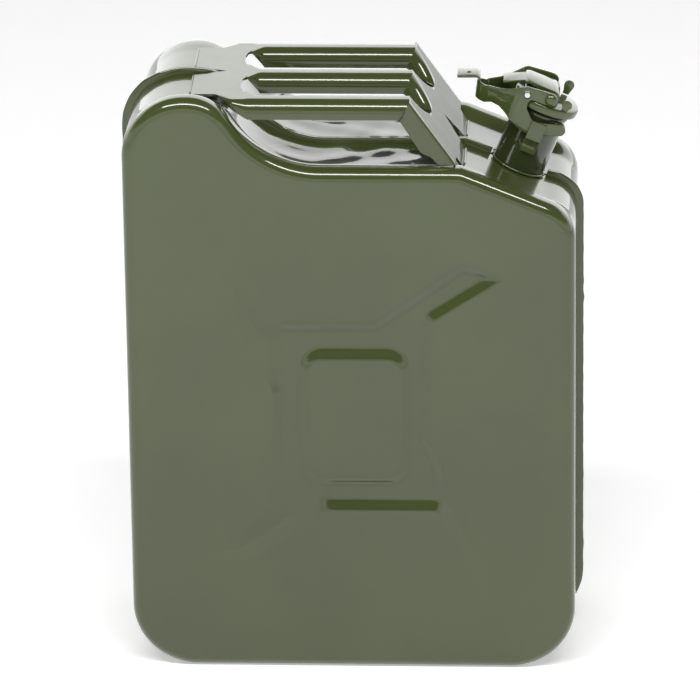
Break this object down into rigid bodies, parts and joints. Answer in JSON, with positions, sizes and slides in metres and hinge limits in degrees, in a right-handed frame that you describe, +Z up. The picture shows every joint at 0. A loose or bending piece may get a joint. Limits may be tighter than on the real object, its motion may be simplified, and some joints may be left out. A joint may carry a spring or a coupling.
{
  "type": "jerry can",
  "caption": "Flat-sided pressed-steel liquid can with a cross-ribbed face, triple-bar carrying handle and tilted filler neck closed by a cam lever and hinged cap.",
  "frame": {"origin": "middle of the base, on the floor the can stands on", "axes": "+X towards the filler neck, +Y from the face with the visible bolt end to the other face, +Z up"},
  "size_m": [0.3546, 0.165, 0.4685],
  "materials": {
    "near_shell": "gloss enamel",
    "far_shell": "gloss enamel",
    "seam_flange": "gloss enamel",
    "filler_neck": "gloss enamel",
    "breather_tube": "bare steel",
    "handle_bar_near": "gloss enamel",
    "handle_bar_middle": "gloss enamel",
    "handle_bar_far": "gloss enamel",
    "handle_rear_plate": "gloss enamel",
    "handle_leg": "gloss enamel",
    "rear_weld_near": "gloss enamel",
    "rear_weld_far": "gloss enamel",
    "leg_weld_near": "gloss enamel",
    "leg_weld_far": "gloss enamel",
    "neck_weld_near": "gloss enamel",
    "neck_weld_far": "gloss enamel",
    "neck_strap_near": "gloss enamel",
    "neck_strap_far": "gloss enamel",
    "pivot_lug_near": "gloss enamel",
    "pivot_lug_far": "gloss enamel",
    "cam_lever": "gloss enamel",
    "thumb_tab": "gloss enamel",
    "pivot_pin_near": "gloss enamel",
    "pivot_pin_far": "gloss enamel",
    "cap_lid": "gloss enamel",
    "cap_gasket": "matte",
    "cap_saddle": "gloss enamel",
    "cap_rivet": "gloss enamel",
    "stop_ear_near": "gloss enamel",
    "stop_ear_far": "gloss enamel",
    "lock_bolt": "zinc plated"
  },
  "bodies": {
    "can": {"near_shell": "near_shell", "far_shell": "far_shell", "seam_flange": "seam_flange", "filler_neck": "filler_neck", "breather_tube": "breather_tube", "handle_bar_near": "handle_bar_near", "handle_bar_middle": "handle_bar_middle", "handle_bar_far": "handle_bar_far", "handle_rear_plate": "handle_rear_plate", "handle_leg": "handle_leg", "rear_weld_near": "rear_weld_near", "rear_weld_far": "rear_weld_far", "leg_weld_near": "leg_weld_near", "leg_weld_far": "leg_weld_far", "neck_weld_near": "neck_weld_near", "neck_weld_far": "neck_weld_far", "neck_strap_near": "neck_strap_near", "neck_strap_far": "neck_strap_far", "pivot_lug_near": "pivot_lug_near", "pivot_lug_far": "pivot_lug_far"},
    "lever": {"cam_lever": "cam_lever", "thumb_tab": "thumb_tab", "pivot_pin_near": "pivot_pin_near", "pivot_pin_far": "pivot_pin_far"},
    "cap": {"cap_lid": "cap_lid", "cap_gasket": "cap_gasket", "cap_saddle": "cap_saddle", "cap_rivet": "cap_rivet", "stop_ear_near": "stop_ear_near", "stop_ear_far": "stop_ear_far"},
    "bolt": {"lock_bolt": "lock_bolt"}
  },
  "joints": [
    {"name": "lever_swing", "type": "hinge", "parent": "can", "child": "lever", "pos_m": [0.15894, 0, 0.42491], "axis": [0, 1, 0], "range_deg": [0, 110]},
    {"name": "cap_swing", "type": "hinge", "parent": "lever", "child": "cap", "pos_m": [0.15277, 0, 0.4493], "axis": [0, 1, 0], "range_deg": [-8, 0]},
    {"name": "lock_bolt_slide", "type": "slide", "parent": "lever", "child": "bolt", "axis": [0, 1, 0], "range_m": [0, 0.03]}
  ],
  "couplings": [
    {"joint": "cap_swing", "follows": "lever_swing", "ratio": -0.07}
  ]
}
